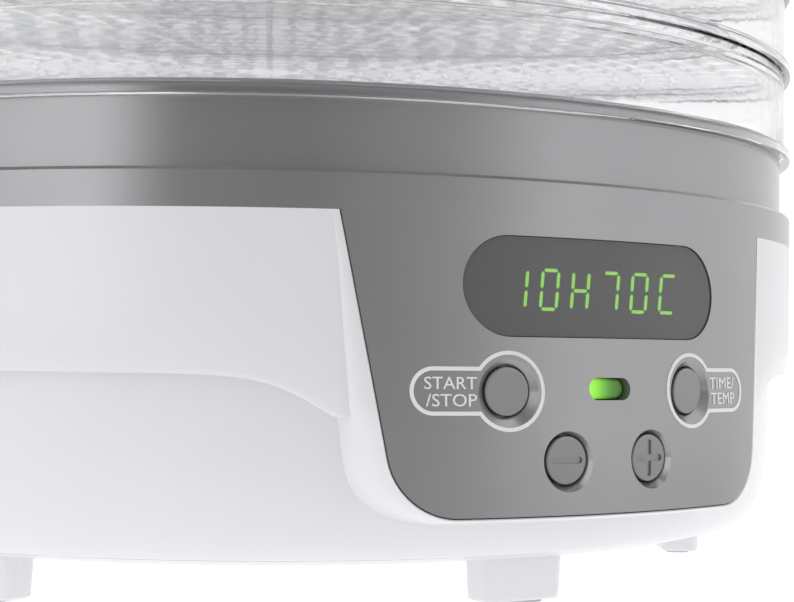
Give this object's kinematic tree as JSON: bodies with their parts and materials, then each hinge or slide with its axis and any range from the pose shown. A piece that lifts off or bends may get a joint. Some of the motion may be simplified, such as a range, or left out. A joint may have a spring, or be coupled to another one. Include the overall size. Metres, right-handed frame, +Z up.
{
  "type": "stacked-tray dryer",
  "caption": "Round countertop dryer: white fan-heater base with digital panel, grey air deck ring, clear stacking mesh trays and vented clear lid.",
  "frame": {"origin": "centre of the footprint, on the floor under the foot pads, on the stack's axis", "axes": "+Z up along the stack's axis, control panel faces -Y, +X to the right seen from the front"},
  "size_m": [0.33, 0.3384, 0.2782],
  "materials": {
    "housing_white": "moulded white plastic, soft gloss",
    "ring_grey": "satin mid-grey moulded plastic",
    "panel_grey": "satin mid-grey moulded plastic",
    "key_grey": "satin grey moulded caps",
    "window_smoke": "smoke-tinted clear plastic, polished",
    "lamp_green": "green lit light guide",
    "clear_plastic": "clear colourless moulded plastic",
    "pad_rubber": "grey rubber",
    "gland_rubber": "pale grey flexible gland",
    "board_green": "solder-masked circuit board",
    "module_black": "black moulded component bodies",
    "mica_board": "mica sheet",
    "plated_steel": "zinc-plated sheet and screws",
    "sheath_steel": "drawn steel, slightly heat-tinted",
    "fan_aluminium": "pressed aluminium blades"
  },
  "bodies": {
    "base": {"lower_housing": "housing_white", "bottom_plate": "housing_white", "feet": "housing_white", "foot_pads": "pad_rubber", "deck_ring": "ring_grey", "outlet_grille": "ring_grey", "control_fascia": "panel_grey", "display_window": "window_smoke", "indicator_lens": "lamp_green", "control_board": "board_green", "display_modules": "module_black", "indicator_led": "lamp_green", "tact_switches": "module_black", "motor_bracket": "plated_steel", "fan_motor": "plated_steel", "heat_shield": "plated_steel", "heater_frame": "mica_board", "heater_element": "sheath_steel", "thermal_cutout": "module_black", "temperature_sensor": "module_black", "power_board": "board_green", "power_parts": "module_black", "cord_gland": "gland_rubber", "housing_screws": "plated_steel", "motor_screws": "plated_steel", "board_screws": "plated_steel", "shield_screws": "plated_steel"},
    "fan": {"fan_impeller": "fan_aluminium", "motor_shaft": "sheath_steel"},
    "start_key": {"start_button": "key_grey"},
    "time_key": {"time_button": "key_grey"},
    "minus_key": {"minus_button": "key_grey"},
    "plus_key": {"plus_button": "key_grey"},
    "tray_1_body": {"tray_1_rim": "clear_plastic", "tray_1_floor": "clear_plastic"},
    "tray_2_body": {"tray_2_rim": "clear_plastic", "tray_2_floor": "clear_plastic"},
    "tray_3_body": {"tray_3_rim": "clear_plastic", "tray_3_floor": "clear_plastic"},
    "tray_4_body": {"tray_4_rim": "clear_plastic", "tray_4_floor": "clear_plastic"},
    "tray_5_body": {"tray_5_rim": "clear_plastic", "tray_5_floor": "clear_plastic"},
    "lid_body": {"lid": "clear_plastic"}
  },
  "joints": [
    {"name": "fan_spin", "type": "hinge", "parent": "base", "child": "fan", "pos_m": [0, 0, 0.07], "axis": [0, 0, 1], "continuous": true},
    {"name": "start_press", "type": "slide", "parent": "base", "child": "start_key", "axis": [0.1734, 0.9849, 0], "range_m": [0, 0.001], "stiffness_N_per_m": 700, "springref_m": -0.0006},
    {"name": "time_press", "type": "slide", "parent": "base", "child": "time_key", "axis": [-0.1734, 0.9849, 0], "range_m": [0, 0.001], "stiffness_N_per_m": 700, "springref_m": -0.0006},
    {"name": "minus_press", "type": "slide", "parent": "base", "child": "minus_key", "axis": [0.0783, 0.9969, 0], "range_m": [0, 0.001], "stiffness_N_per_m": 700, "springref_m": -0.0006},
    {"name": "plus_press", "type": "slide", "parent": "base", "child": "plus_key", "axis": [-0.0783, 0.9969, 0], "range_m": [0, 0.001], "stiffness_N_per_m": 700, "springref_m": -0.0006},
    {"name": "tray_1_lift", "type": "slide", "parent": "base", "child": "tray_1_body", "axis": [0, 0, 1], "range_m": [0, 0.045]},
    {"name": "tray_2_lift", "type": "slide", "parent": "tray_1_body", "child": "tray_2_body", "axis": [0, 0, 1], "range_m": [0, 0.045]},
    {"name": "tray_3_lift", "type": "slide", "parent": "tray_2_body", "child": "tray_3_body", "axis": [0, 0, 1], "range_m": [0, 0.045]},
    {"name": "tray_4_lift", "type": "slide", "parent": "tray_3_body", "child": "tray_4_body", "axis": [0, 0, 1], "range_m": [0, 0.045]},
    {"name": "tray_5_lift", "type": "slide", "parent": "tray_4_body", "child": "tray_5_body", "axis": [0, 0, 1], "range_m": [0, 0.045]},
    {"name": "lid_lift", "type": "slide", "parent": "tray_5_body", "child": "lid_body", "axis": [0, 0, 1], "range_m": [0, 0.06]}
  ]
}
